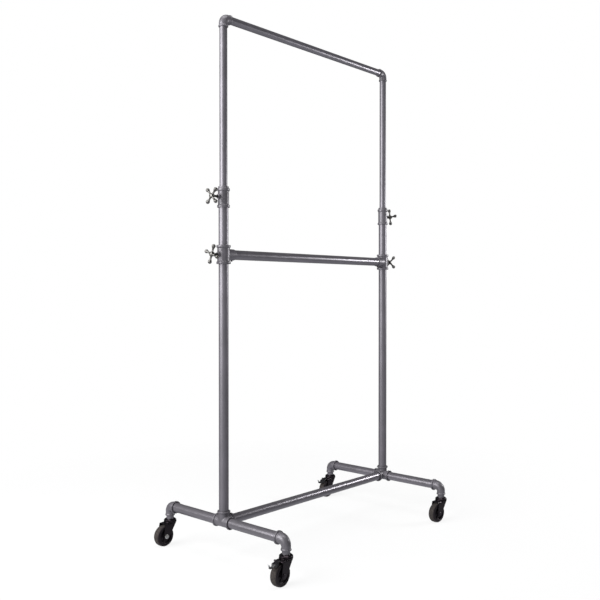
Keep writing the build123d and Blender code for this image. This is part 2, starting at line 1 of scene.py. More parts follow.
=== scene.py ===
import json
import math

import bpy
from mathutils import Matrix, Vector


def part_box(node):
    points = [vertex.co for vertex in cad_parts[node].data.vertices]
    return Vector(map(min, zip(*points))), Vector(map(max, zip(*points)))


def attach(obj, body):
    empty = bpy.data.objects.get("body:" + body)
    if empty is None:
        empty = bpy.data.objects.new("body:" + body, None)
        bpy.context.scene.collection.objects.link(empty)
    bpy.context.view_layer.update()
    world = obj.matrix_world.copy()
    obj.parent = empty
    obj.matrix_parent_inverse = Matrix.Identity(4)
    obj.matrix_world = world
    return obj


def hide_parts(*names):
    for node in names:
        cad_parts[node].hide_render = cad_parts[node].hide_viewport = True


# The looks of a rolling garment rack of painted pipe and cast fittings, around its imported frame.
# Blender works in metres; the shapes below are drawn in millimetres and scaled by MM.

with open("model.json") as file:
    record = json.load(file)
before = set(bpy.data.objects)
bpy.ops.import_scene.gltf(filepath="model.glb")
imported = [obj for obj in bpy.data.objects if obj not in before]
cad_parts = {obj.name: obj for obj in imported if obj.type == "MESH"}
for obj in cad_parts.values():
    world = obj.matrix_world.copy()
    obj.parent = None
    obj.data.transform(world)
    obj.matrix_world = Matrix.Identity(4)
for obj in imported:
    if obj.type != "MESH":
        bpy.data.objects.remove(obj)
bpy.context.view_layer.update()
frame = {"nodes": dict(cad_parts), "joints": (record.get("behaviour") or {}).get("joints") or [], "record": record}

MM = 0.001
SIDES = {"left": -1, "right": 1}
ENDS = {"front": -1, "rear": 1}
CORNERS = [f"{end}_{side}" for end in ENDS for side in SIDES]
SCREWS = [f"{part}_{side}" for part in ("collar", "slide") for side in SIDES]
JOINTS = {joint["name"]: joint for joint in frame["joints"]}


# ------------------------------------------------------------------ places, from the frame
def centre(node):
    """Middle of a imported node's box."""
    low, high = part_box(node)
    return (low + high) / 2


def side_turn(side):
    """Fittings are drawn for the left upright, and turned half round for the right one."""
    return Matrix.Rotation(math.pi if side > 0 else 0, 4, "Z")


BASE_LEVEL = centre("base_stretcher").z
RAIL_LEVEL = centre("mid_rail").z
TOP_LEVEL = centre("top_rail").z
COLLAR_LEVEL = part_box("clamp_collar_left")[0].z
UPRIGHT_X = {side: centre(f"lower_upright_{side}").x for side in SIDES}
TYRE_R = (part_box("tyre_front_left")[1].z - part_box("tyre_front_left")[0].z) / 2 / MM


def caster_place(corner):
    """Frame of a caster: on the floor under its stem, with the wheel trailing to -X."""
    swivel = JOINTS[f"caster_swivel_{corner}"]["pos_m"]
    axle = JOINTS[f"wheel_spin_{corner}"]["axis"]
    turn = math.atan2(-axle[0], axle[1])
    return Matrix.Translation((swivel[0], swivel[1], 0)) @ Matrix.Rotation(turn, 4, "Z")


def screw_place(place):
    """Frame of a clamp screw: at the upright's axis, with the screw reaching out to -X."""
    screw = JOINTS[f"clamp_turn_{place}"]["pos_m"]
    side = place.split("_")[1]
    return Matrix.Translation((UPRIGHT_X[side], 0, screw[2])) @ side_turn(SIDES[side])


# ------------------------------------------------------------------ drawing helpers
UP = Matrix.Identity(4)
DOWN = Matrix.Rotation(math.pi, 4, "X")
FRONT = Matrix.Rotation(math.pi / 2, 4, "X")
REAR = Matrix.Rotation(-math.pi / 2, 4, "X")
PLUS_X = Matrix.Rotation(math.pi / 2, 4, "Y")
MINUS_X = Matrix.Rotation(-math.pi / 2, 4, "Y")


def rounded(corners, steps=5):
    """Points along a profile of (x, y, radius) corners, with each corner turned on its radius."""
    path = []
    for index, (x, y, radius) in enumerate(corners):
        here = Vector((x, y))
        if radius == 0:
            path.append(here)
            continue
        before = (Vector(corners[index - 1][:2]) - here).normalized()
        after = (Vector(corners[(index + 1) % len(corners)][:2]) - here).normalized()
        half = before.angle(after) / 2
        hub = here + (before + after).normalized() * radius / math.sin(half)
        start = here + before * radius / math.tan(half) - hub
        end = here + after * radius / math.tan(half) - hub
        for step in range(steps + 1):
            path.append(hub + start.lerp(end, step / steps).normalized() * radius)
    return path


def bridge(ring, following):
    """Faces between two rings of vertices, either of which may be a single point."""
    faces = []
    for step in range(max(len(ring), len(following))):
        quad = [ring[step % len(ring)], ring[(step + 1) % len(ring)],
                following[(step + 1) % len(following)], following[step % len(following)]]
        face = list(dict.fromkeys(quad))
        if len(face) > 2:
            faces.append(face)
    return faces


def grid_faces(rows, columns):
    """Faces over a grid of vertices that are numbered row by row."""
    wide = columns + 1
    corners = [row * wide + column for row in range(rows) for column in range(columns)]
    return [[first, first + 1, first + wide + 1, first + wide] for first in corners]


def lathe(profile, steps=64, hollow=False):
    """Surface of revolution about Z from (radius, height) points; a hollow one is a closed ring."""
    points, rings = [], []
    for radius, height in profile:
        count = steps if radius > 1e-6 else 1
        rings.append(list(range(len(points), len(points) + count)))
        for step in range(count):
            turn = 2 * math.pi * step / steps
            points.append(Vector((radius * math.cos(turn), radius * math.sin(turn), height)))
    faces = []
    for ring, following in zip(rings, rings[1:] + rings[:1] if hollow else rings[1:]):
        faces += bridge(ring, following)
    return points, faces


def block(outline, half_width):
    """Closed block with an (x, z) outline, between -half_width and half_width in Y."""
    count = len(outline)
    points = [Vector((spot.x, y, spot.y)) for y in (-half_width, half_width) for spot in outline]
    faces = [list(range(count)), list(range(2 * count - 1, count - 1, -1))]
    for index in range(count):
        following = (index + 1) % count
        faces.append([index, count + index, count + following, following])
    return points, faces


def moved(shell, matrix):
    """The same surface, moved."""
    points, faces = shell
    return [matrix @ point for point in points], faces


def joined(shells):
    """Several surfaces as one."""
    points, faces = [], []
    for more_points, more_faces in shells:
        shift = len(points)
        points += more_points
        faces += [[index + shift for index in face] for face in more_faces]
    return points, faces


def mesh_of(name, shell, sharp=35):
    """Mesh in metres from a surface in millimetres, shaded smooth between its sharper edges."""
    points, faces = shell
    mesh = bpy.data.meshes.new(name)
    mesh.from_pydata([point * MM for point in points], [], faces)
    mesh.shade_smooth()
    mesh.set_sharp_from_angle(angle=math.radians(sharp))
    return mesh


def settled(name, mesh, modifiers):
    """The mesh with (kind, settings) modifiers applied."""
    holder = bpy.data.objects.new(name + "_draft", mesh)
    bpy.context.scene.collection.objects.link(holder)
    for kind, settings in modifiers:
        modifier = holder.modifiers.new(kind.lower(), kind)
        for key, value in settings.items():
            setattr(modifier, key, value)
    graph = bpy.context.evaluated_depsgraph_get()
    done = bpy.data.meshes.new_from_object(holder.evaluated_get(graph))
    done.name = name
    bpy.data.objects.remove(holder)
    bpy.data.meshes.remove(mesh)
    return done


def skin(name, shells, voxel, relax):
    """One skin over overlapping shells, relaxed so that its inner corners fill as in a casting."""
    mesh = settled(name, mesh_of(name, joined(shells)),
                   [("REMESH", {"mode": "VOXEL", "voxel_size": voxel * MM}),
                    ("SMOOTH", {"factor": 0.5, "iterations": relax})])
    mesh.shade_smooth()
    return mesh


def shell_of(mesh):
    """A mesh as a surface in millimetres again."""
    points = [vertex.co / MM for vertex in mesh.vertices]
    return points, [list(face.vertices) for face in mesh.polygons]


def piece(name, mesh, body, slot, finish, place, *stands_for):
    """Puts a finished mesh in place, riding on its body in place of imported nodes."""
    made = bpy.data.objects.new(name, mesh)
    bpy.context.scene.collection.objects.link(made)
    mesh.materials.clear()
    mesh.materials.append(finish)
    made.matrix_world = place
    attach(made, body)
    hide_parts(*stands_for)


# ------------------------------------------------------------------ material helpers
def add(tree, kind, inputs=None, **attributes):
    """A shader node with its attributes set and its inputs set or linked."""
    made = tree.nodes.new("ShaderNode" + kind)
    for key, value in attributes.items():
        setattr(made, key, value)
    for key, value in (inputs or {}).items():
        if isinstance(value, bpy.types.NodeSocket):
            tree.links.new(value, made.inputs[key])
        else:
            made.inputs[key].default_value = value
    return made


def material(name, **sockets):
    """A new material, its node tree and its shader, with constant values on the shader."""
    made = bpy.data.materials.new(name)
    made.use_nodes = True
    shader = made.node_tree.nodes["Principled BSDF"]
    for key, value in sockets.items():
        shader.inputs[key.replace("_", " ")].default_value = value
    return made, made.node_tree, shader


def grain(tree, scale, detail=3.0, stretch=(1, 1, 1)):
    """Noise in the piece's own coordinates, scale in features per metre."""
    place = add(tree, "TexCoord").outputs["Object"]
    place = add(tree, "Mapping", {"Vector": place, "Scale": stretch}).outputs["Vector"]
    return add(tree, "TexNoise", {"Vector": place, "Scale": scale, "Detail": detail}).outputs["Fac"]


def spread(tree, value, low, high, start=0.35, end=0.65):
    """A value between start and end, spread over low to high."""
    return add(tree, "MapRange", {"Value": value, "From Min": start, "From Max": end,
                                  "To Min": low, "To Max": high}).outputs["Result"]


def blended(tree, factor, first, second):
    """A colour between two others."""
    made = add(tree, "Mix", data_type="RGBA")
    for index, value in ((0, factor), (6, first), (7, second)):
        if isinstance(value, bpy.types.NodeSocket):
            tree.links.new(value, made.inputs[index])
        else:
            made.inputs[index].default_value = value
    return made.outputs[2]


def times(tree, first, second):
    """The product of two values."""
    return add(tree, "Math", {0: first, 1: second}, operation="MULTIPLY").outputs[0]


def relief(tree, shader, layers):
    """Bumps on the shader, from (height, depth in millimetres) layers."""
    normal = None
    for height, depth in layers:
        inputs = {"Height": height, "Distance": depth * MM, "Strength": 1.0}
        if normal:
            inputs["Normal"] = normal
        normal = add(tree, "Bump", inputs).outputs["Normal"]
    tree.links.new(normal, shader.inputs["Normal"])


def grey(level, tint=0.0):
    """A near-neutral colour; a positive tint leans to violet."""
    return (level, level * (1 - tint), level * (1 + tint), 1)


# ------------------------------------------------------------------ materials
def flaked(tree, level):
    """Colour of metallic paint: soft clouding and fine flake."""
    cloud = spread(tree, grain(tree, 11), 0, 1)
    flake = spread(tree, grain(tree, 2600, 2), 0, 1)
    colour = blended(tree, cloud, grey(level * 0.9, 0.05), grey(level * 1.08, 0.06))
    return blended(tree, times(tree, flake, 0.15), colour, grey(level * 1.6, 0.05))


def satin_paint(name, level, smoothness):
    """Metallic grey paint on smooth pipe."""
    made, tree, shader = material(name, Metallic=0.5, IOR=1.5)
    tree.links.new(flaked(tree, level), shader.inputs["Base Color"])
    rough = spread(tree, grain(tree, 45, 4), smoothness - 0.02, smoothness + 0.03)
    tree.links.new(rough, shader.inputs["Roughness"])
    return made


def sliding_paint(name, level, smoothness):
    """The paint of a pipe that slides or is slid on, with faint polished lines along it."""
    made, tree, shader = material(name, Metallic=0.5, IOR=1.5)
    rubs = spread(tree, grain(tree, 700, 3, (1, 1, 0.012)), 0, 1, 0.58, 0.72)
    colour = blended(tree, times(tree, rubs, 0.12), flaked(tree, level), grey(level * 1.6, 0.04))
    tree.links.new(colour, shader.inputs["Base Color"])
    rough = spread(tree, rubs, smoothness + 0.02, smoothness - 0.03, 0, 1)
    tree.links.new(rough, shader.inputs["Roughness"])
    return made


def cast_paint(name, level, smoothness):
    """The same paint over sand-cast iron: pitted, a little rougher, paler where edges rub."""
    made, tree, shader = material(name, Metallic=0.3, IOR=1.5)
    cloud = spread(tree, grain(tree, 30), 0, 1)
    sand = grain(tree, 900, 4)
    pits = spread(tree, grain(tree, 330, 2), 0, 1, 0.52, 0.66)
    edge = spread(tree, add(tree, "NewGeometry").outputs["Pointiness"], 0, 1, 0.52, 0.6)
    worn = times(tree, edge, spread(tree, grain(tree, 160, 4), 0, 0.55))
    colour = blended(tree, cloud, grey(level * 0.88, 0.05), grey(level * 1.1, 0.06))
    colour = blended(tree, times(tree, pits, 0.2), colour, grey(level * 0.55, 0.05))
    colour = blended(tree, worn, colour, grey(level * 1.8, 0.03))
    tree.links.new(colour, shader.inputs["Base Color"])
    rough = spread(tree, sand, smoothness - 0.06, smoothness + 0.12)
    tree.links.new(rough, shader.inputs["Roughness"])
    relief(tree, shader, [(grain(tree, 330, 2), 0.12), (sand, 0.05)])
    return made


def bare_metal(name, level, smoothness, warmth=0.0, lines=(1, 1, 1)):
    """Plated or turned metal, with fine marks and duller patches."""
    made, tree, shader = material(name, Metallic=1.0)
    marks = grain(tree, 1500, 3, lines)
    dull = spread(tree, grain(tree, 120, 4), 0, 1)
    bright = (level * (1 + warmth * 0.5), level, level * (1 - warmth), 1)
    stained = (level * 0.8 * (1 + warmth * 0.6), level * 0.78, level * 0.74 * (1 - warmth), 1)
    tree.links.new(blended(tree, dull, bright, stained), shader.inputs["Base Color"])
    rough = spread(tree, dull, smoothness - 0.05, smoothness + 0.1, 0, 1)
    tree.links.new(rough, shader.inputs["Roughness"])
    relief(tree, shader, [(marks, 0.01)])
    return made


def black_finish(name, level, smoothness, grit):
    """Black enamel, oxide or moulded plastic, with a little dust and fine texture."""
    dust = 0.015
    made, tree, shader = material(name, IOR=1.34, Specular_Tint=(1, 0.78, 0.92, 1))
    patch = spread(tree, grain(tree, 60, 4), 0, 1)
    colour = blended(tree, patch, grey(level * 0.8, 0.12), grey(level * 1.3, 0.1))
    lint = spread(tree, grain(tree, 500, 5), 0, dust, 0.5, 0.75)
    colour = blended(tree, lint, colour, (0.2, 0.19, 0.18, 1))
    tree.links.new(colour, shader.inputs["Base Color"])
    rough = spread(tree, grain(tree, 200, 4), smoothness - 0.05, smoothness + 0.12)
    tree.links.new(rough, shader.inputs["Roughness"])
    relief(tree, shader, [(grain(tree, 800, 3), grit)])
    return made


def worn_pedal(name):
    """Black pedal, rubbed to bright steel on its foot tab, which rises to the rear."""
    made, tree, shader = material(name)
    place = add(tree, "TexCoord").outputs["Object"]
    up_tab, rubbed_from, rubbed_to = (-0.65, 0, 0.76), 0.1135, 0.1155
    along = add(tree, "VectorMath", {0: place, 1: up_tab}, operation="DOT_PRODUCT")
    ragged = add(tree, "Math", {0: along.outputs["Value"], 1: times(tree, grain(tree, 400, 4), 0.003)})
    tab = spread(tree, ragged.outputs[0], 0, 1, rubbed_from, rubbed_to)
    marks = spread(tree, grain(tree, 260, 4), 0, 1)
    steel = blended(tree, marks, grey(0.42), grey(0.6))
    tree.links.new(blended(tree, tab, grey(0.006, 0.1), steel), shader.inputs["Base Color"])
    tree.links.new(tab, shader.inputs["Metallic"])
    tree.links.new(spread(tree, marks, 0.3, 0.42, 0, 1), shader.inputs["Roughness"])
    relief(tree, shader, [(marks, 0.03)])
    return made


def scuffed_rubber(name, tread_radius):
    """Black rubber whose tread has worn to a dusty brown-grey, drawn about the wheel's own Z axis."""
    made, tree, shader = material(name, IOR=1.32, Specular_Tint=(1, 0.8, 0.88, 1))
    place = add(tree, "TexCoord").outputs["Object"]
    split = add(tree, "SeparateXYZ", {"Vector": place})
    flat = add(tree, "CombineXYZ", {"X": split.outputs["X"], "Y": split.outputs["Y"]})
    radius = add(tree, "VectorMath", {0: flat.outputs["Vector"]}, operation="LENGTH").outputs["Value"]
    tread = spread(tree, radius, 0, 1, (tread_radius - 2.4) * MM, (tread_radius - 0.9) * MM)
    scuff = spread(tree, grain(tree, 130, 5), 0.45, 1)
    worn = blended(tree, spread(tree, grain(tree, 420, 4), 0, 1),
                   (0.032, 0.029, 0.026, 1), (0.066, 0.06, 0.053, 1))
    clean = blended(tree, spread(tree, grain(tree, 70, 3), 0, 1), grey(0.005, 0.1), grey(0.01, 0.1))
    tree.links.new(blended(tree, times(tree, tread, scuff), clean, worn), shader.inputs["Base Color"])
    rough = spread(tree, tread, 0.5, 0.78, 0, 1)
    tree.links.new(rough, shader.inputs["Roughness"])
    relief(tree, shader, [(grain(tree, 700, 4), 0.07), (grain(tree, 140, 3), 0.06)])
    return made


PIPE = satin_paint("pipe_paint", 0.16, 0.3)
SLIDING_PIPE = sliding_paint("sliding_pipe_paint", 0.15, 0.4)
CAST = cast_paint("cast_paint", 0.13, 0.38)
HANDLE = bare_metal("handle_metal", 0.14, 0.34, 0.03)
ZINC = bare_metal("zinc_plate", 0.5, 0.26)
# Nearly black steel for the threaded studs, far darker than the zinc plate of their slot.
THREAD = bare_metal("near_black_thread", 0.035, 0.4)
BALL_STEEL = bare_metal("bearing_steel", 0.6, 0.15)
BRASS = bare_metal("turned_brass", 0.62, 0.3, 0.45, (8, 1, 1))
OXIDE = black_finish("black_oxide", 0.012, 0.38, 0.02)
ENAMEL = black_finish("black_enamel", 0.004, 0.16, 0.008)
PLASTIC = black_finish("wheel_plastic", 0.006, 0.42, 0.04)
GUIDE = black_finish("guide_plastic", 0.04, 0.5, 0.04)
PEDAL = worn_pedal("pedal_steel")
RUBBER = scuffed_rubber("tyre_rubber", TYRE_R)


# ------------------------------------------------------------------ cast fittings
LARGE_PIPE = 16.7
SMALL_PIPE = 13.35
CAST_R = 18.5
BEAD_R = 22.4
BEAD = 7.0
BLEND = 26  # smoothing passes that fill the corners between arms


def arm(reach, cast_r):
    """One plain arm of a fitting, from the origin up Z to just short of its mouth."""
    return lathe([(0, -1), (cast_r, -1), (cast_r, reach - 4), (0, reach - 4)])


def mouth(reach, bead_r, bead, pipe_r):
    """The raised bead at an arm's mouth, countersunk round its pipe."""
    ring = rounded([(0, reach - bead, 0), (bead_r - 1.2, reach - bead, 0),
                    (bead_r, reach - bead + 1.4, 1), (bead_r, reach, 1.6),
                    (pipe_r + 2.4, reach, 0.5), (pipe_r, reach - 3.2, 0), (0, reach - 3.2, 0)])
    return lathe(ring, 96)


def fitting(name, arms, extras=()):
    """Skin of a cast fitting: arms blended together, then a bead on each of its mouths.

    Each arm is (turn, reach, cast radius, bead radius, bead length, pipe radius).
    """
    plain = [moved(arm(reach, cast_r), turn) for turn, reach, cast_r, _, _, _ in arms]
    body = skin(name + "_body", plain + list(extras), 1.0, BLEND)
    mouths = [moved(mouth(reach, bead_r, bead, pipe_r), turn)
              for turn, reach, _, bead_r, bead, pipe_r in arms]
    return skin(name, [shell_of(body), *mouths], 0.7, 2)


def quarter_bend(radius_from, radius_to, bend):
    """Round bar round a quarter bend, from the -Y side to the -Z side."""
    points, rings = [], []
    steps, spokes = 16, 48
    for step in range(steps + 1):
        turn = math.pi / 2 * step / steps
        hub = Vector((0, -bend + bend * math.sin(turn), -bend + bend * math.cos(turn)))
        radius = radius_from + (radius_to - radius_from) * step / steps
        across = Vector((0, math.sin(turn), math.cos(turn)))
        rings.append(list(range(len(points), len(points) + spokes)))
        for spoke in range(spokes):
            angle = 2 * math.pi * spoke / spokes
            points.append(hub + radius * (math.cos(angle) * across + math.sin(angle) * Vector((1, 0, 0))))
    faces = []
    for ring, following in zip(rings, rings[1:]):
        faces += bridge(ring, following)
    faces += [rings[0], list(reversed(rings[-1]))]
    return points, faces


def elbow(name, side_arm, drop_arm, bend):
    """Skin of an elbow with one mouth to -Y and one downwards."""
    reach, cast_r = side_arm[0], side_arm[1]
    side = moved(arm(reach - bend, cast_r), Matrix.Translation((0, -bend, 0)) @ FRONT)
    drop = moved(arm(drop_arm[0] - bend, drop_arm[1]), Matrix.Translation((0, 0, -bend)) @ DOWN)
    body = skin(name + "_body", [quarter_bend(cast_r, drop_arm[1], bend), side, drop], 0.9, 6)
    mouths = [moved(mouth(side_arm[0], *side_arm[2:]), FRONT), moved(mouth(drop_arm[0], *drop_arm[2:]), DOWN)]
    return skin(name, [shell_of(body), *mouths], 0.7, 2)


def half_height(node):
    """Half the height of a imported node, in millimetres."""
    low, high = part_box(node)
    return (high.z - low.z) / 2 / MM


def base_tees():
    """The two side-outlet tees of the base."""
    arms = [(turn, 37.0, CAST_R, BEAD_R, BEAD, LARGE_PIPE) for turn in (UP, FRONT, REAR, PLUS_X)]
    mesh = fitting("base_tee_skin", arms)
    for name, side in SIDES.items():
        place = Matrix.Translation((UPRIGHT_X[name], 0, BASE_LEVEL)) @ side_turn(side)
        piece(f"base_tee_{name}_skin", mesh, "base_frame", "fitting_paint", CAST, place, f"base_tee_{name}")


def foot_elbows():
    """The reducing elbows over the casters."""
    mesh = elbow("foot_elbow_skin", (36.0, CAST_R, BEAD_R, BEAD, LARGE_PIPE),
                 (34.0, 15.6, 17.4, 6.0, SMALL_PIPE), 21.0)
    for corner in CORNERS:
        end = corner.split("_")[0]
        stem = JOINTS[f"caster_swivel_{corner}"]["pos_m"]
        turn = Matrix.Rotation(math.pi if end == "front" else 0, 4, "Z")
        place = Matrix.Translation((stem[0], stem[1], BASE_LEVEL)) @ turn
        piece(f"foot_elbow_{corner}_skin", mesh, "base_frame", "fitting_paint", CAST, place,
              f"foot_elbow_{corner}")


def top_elbows():
    """The elbows of the upper frame."""
    small_arm = (30.0, 15.2, 17.0, 6.0, SMALL_PIPE)
    mesh = elbow("top_elbow_skin", small_arm, small_arm, 17.0)
    for name, side in SIDES.items():
        turn = Matrix.Rotation(math.radians(-90 * side), 4, "Z")
        place = Matrix.Translation((UPRIGHT_X[name], 0, TOP_LEVEL)) @ turn
        piece(f"top_elbow_{name}_skin", mesh, "upper_frame", "fitting_paint", CAST, place,
              f"top_elbow_{name}")


def boss(reach, level):
    """Round boss for a clamp screw, reaching to -X, countersunk round the stud."""
    ring = rounded([(0, 0, 0), (8, 0, 0), (8, reach, 1.4), (5.4, reach, 0.3), (4.3, reach - 1, 0),
                    (0, reach - 1, 0)])
    return moved(lathe(ring, 48), Matrix.Translation((0, 0, level)) @ MINUS_X)


def clamp_collars():
    """The reducing collars that clamp the upper uprights."""
    bead_r, body_r, neck_r = 21.5, 18.9, 18.1
    ring = rounded([(0, 3, 0), (LARGE_PIPE, 3, 0), (LARGE_PIPE + 2, 0, 0.5), (bead_r, 0, 1.4),
                    (bead_r, 8, 1.4), (body_r, 9.2, 1), (body_r, 55.8, 1), (bead_r, 57, 1.4),
                    (bead_r, 65, 1.4), (neck_r, 65.6, 0.8), (neck_r, 72, 1.5),
                    (SMALL_PIPE + 1.6, 72, 0.4), (SMALL_PIPE, 70, 0), (0, 70, 0)])
    mesh = skin("clamp_collar_skin", [lathe(ring, 96), boss(27, 36)], 0.7, 3)
    for name, side in SIDES.items():
        place = Matrix.Translation((UPRIGHT_X[name], 0, COLLAR_LEVEL)) @ side_turn(side)
        piece(f"clamp_collar_{name}_skin", mesh, "base_frame", "fitting_paint", CAST, place,
              f"clamp_collar_{name}")


def slide_tees():
    """The sliding tees of the lower rail."""
    half = half_height("slide_tee_left")
    bead_r, body_r, branch_r = 24.4, 21.4, 19.8
    ring = rounded([(0, -half + 2, 0), (LARGE_PIPE, -half + 2, 0), (LARGE_PIPE + 2, -half, 0.5),
                    (bead_r, -half, 1.6), (bead_r, -half + 8, 1.6), (body_r, -half + 9, 1),
                    (body_r, half - 9, 1), (bead_r, half - 8, 1.6), (bead_r, half, 1.6),
                    (LARGE_PIPE + 2, half, 0.5), (LARGE_PIPE, half - 2, 0), (0, half - 2, 0)])
    branch = rounded([(0, 0, 0), (branch_r, 0, 0), (branch_r, 24, 2), (19.2, 45, 1.2),
                      (LARGE_PIPE + 0.9, 45, 0.3), (LARGE_PIPE, 43.5, 0), (0, 43.5, 0)])
    mesh = skin("slide_tee_skin", [lathe(ring, 96), moved(lathe(branch, 96), PLUS_X), boss(29, 0)], 0.7, 4)
    for name, side in SIDES.items():
        place = Matrix.Translation((UPRIGHT_X[name], 0, RAIL_LEVEL)) @ side_turn(side)
        piece(f"slide_tee_{name}_skin", mesh, "lower_rail", "fitting_paint", CAST, place, f"slide_tee_{name}")


# ------------------------------------------------------------------ clamp screws
HUB_OUT = 53.0
ARM_BALL = 28.0
BALL_R = 6.6
THREAD_PITCH = 1.25


def handle_arm():
    """One arm of a cross handle up Z: a waisted stem that swells into a ball."""
    profile = [(0, 0), (4.3, 4), (3.7, 8), (3.25, 12), (3.1, 15), (3.4, 18), (4.1, 20.4),
               (5.2, 22.8), (6.1, 25)]
    for step in range(9):
        turn = math.radians(90 * step / 8)
        profile.append((BALL_R * math.cos(turn), ARM_BALL + BALL_R * math.sin(turn)))
    return lathe(profile[:-1] + [(0, ARM_BALL + BALL_R)], 40)


def handle_turn(place):
    """Angle of a packed handle's arms about its screw, from its vertex farthest from the axis."""
    local = screw_place(place).inverted()
    best, turn = 0, 0
    for vertex in frame["nodes"][f"cross_handle_{place}"].data.vertices:
        spot = local @ vertex.co
        reach = math.hypot(spot.y, spot.z)
        if reach > best:
            best, turn = reach, math.atan2(-spot.y, spot.z)
    return turn % (math.pi / 2)


def cross_handles():
    """Four-armed handles, with a domed cap on each hub."""
    hub = rounded([(0, -7, 0), (7.2, -7, 0.8), (8.2, -5, 1), (8.2, 4.5, 1.5), (5.6, 6.4, 1), (0, 7, 0)])
    parts = [moved(lathe(hub, 48), MINUS_X)]
    parts += [moved(handle_arm(), Matrix.Rotation(math.pi / 2 * step, 4, "X")) for step in range(4)]
    mesh = skin("cross_handle_skin", parts, 0.55, 3)
    for place in SCREWS:
        turn = Matrix.Rotation(handle_turn(place), 4, "X")
        spot = screw_place(place) @ Matrix.Translation((-HUB_OUT * MM, 0, 0)) @ turn
        piece(f"cross_handle_{place}_skin", mesh, f"screw_{place}", "handle_metal", HANDLE, spot,
              f"cross_handle_{place}")


def threaded(start, end, radius):
    """Threaded rod up Z, with its crest at the radius."""
    rows_per_turn, spokes, depth = 8, 40, 0.62
    rows = round((end - start) / THREAD_PITCH * rows_per_turn)
    profile = []
    for row in range(rows + 1):
        profile.append((radius, start + (end - start) * row / rows))
    points, faces = lathe([(0, start), *profile, (0, end)], spokes)
    cut = []
    for point in points:
        flat = math.hypot(point.x, point.y)
        if flat < 1e-6:
            cut.append(point)
            continue
        phase = (point.z / THREAD_PITCH - math.atan2(point.y, point.x) / (2 * math.pi)) % 1
        groove = max(0, 1 - abs(phase - 0.5) / 0.42)
        scale = 1 - depth * groove / radius
        cut.append(Vector((point.x * scale, point.y * scale, point.z)))
    return cut, faces


def clamp_studs():
    """Threaded studs between the pads and the handles."""
    for place in SCREWS:
        low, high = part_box(f"clamp_stud_{place}")
        side = place.split("_")[1]
        near, far = sorted((abs(low.x - UPRIGHT_X[side]) / MM, abs(high.x - UPRIGHT_X[side]) / MM))
        mesh = mesh_of(f"clamp_stud_{place}_thread", threaded(near, far, 4.0), 60)
        spot = screw_place(place) @ MINUS_X
        piece(f"clamp_stud_{place}_thread", mesh, f"screw_{place}", "zinc_plate", THREAD, spot,
              f"clamp_stud_{place}")


# ------------------------------------------------------------------ casters
TRAIL = 30.0
AXLE_LEVEL = 37.5
CHEEK_END_R = 12.4  # round the axle
FORK_OUTER = 17.5
SHEET = 2.5
CROWN_TOP = 83.0
CROWN_BACK, CROWN_FRONT = -35.0, 15.0
HINGE = (-38.2, 0, 81.1)
SHOE_R = 37.8  # from the axle, just off the tread
TAB_ROOT = Vector((-77, 70.5))
TAB_TIP = Vector((-89, 84.5))


def caster_stems():
    """Stems with the domed upper races."""
    race = rounded([(0, 75, 0), (4, 75, 0.6), (4, 86.8, 0), (20.4, 86.8, 0), (22.5, 86.8, 0.9),
                    (22.5, 90.6, 1.5), (17.5, 95, 3), (5.5, 95, 0), (5.5, 127, 0.8), (0, 127, 0)])
    mesh = mesh_of("caster_stem_turned", lathe(race, 96))
    for corner in CORNERS:
        piece(f"caster_stem_{corner}", mesh, "base_frame", "black_enamel", ENAMEL, caster_place(corner),
              "caster_stems")


def cheek_reach(level):
    """Front and back edges of a fork's cheek at a height."""
    axle = Vector((-TRAIL, AXLE_LEVEL))
    reach = []
    for corner_x, way in ((CROWN_BACK, -1), (CROWN_FRONT, 1)):
        corner = Vector((corner_x, CROWN_TOP))
        run = corner - axle
        lean = math.acos(CHEEK_END_R / run.length)
        touch_angle = math.atan2(run.y, run.x) - way * lean
        touch = axle + CHEEK_END_R * Vector((math.cos(touch_angle), math.sin(touch_angle)))
        if level > touch.y:
            share = (level - touch.y) / (corner.y - touch.y)
            reach.append(touch.x + (corner.x - touch.x) * share)
        else:
            drop = min(1, abs(level - axle.y) / CHEEK_END_R)
            reach.append(axle.x + way * CHEEK_END_R * math.sqrt(1 - drop ** 2))
    return reach


def fork_sheet():
    """The fork's sheet: crown, bends and both cheeks, as a grid of points along the folded strip."""
    bend = 4.0
    half = []
    for step in range(7):
        half.append(((FORK_OUTER - bend) * step / 6, CROWN_TOP))
    for step in range(1, 7):
        turn = math.pi / 2 * step / 6
        half.append((FORK_OUTER - bend + bend * math.sin(turn), CROWN_TOP - bend + bend * math.cos(turn)))
    for step in range(1, 11):
        half.append((FORK_OUTER, CROWN_TOP - bend - (CROWN_TOP - bend - AXLE_LEVEL) * step / 10))
    for step in range(1, 13):
        turn = math.pi / 2 * step / 12
        half.append((FORK_OUTER, AXLE_LEVEL - CHEEK_END_R * 0.9995 * math.sin(turn)))
    strip = [(-y, z) for y, z in reversed(half[1:])] + half
    columns = 14
    points = []
    for y, z in strip:
        back, front = cheek_reach(z)
        for column in range(columns + 1):
            points.append(Vector((back + (front - back) * column / columns, y, z)))
    return points, grid_faces(len(strip) - 1, columns)


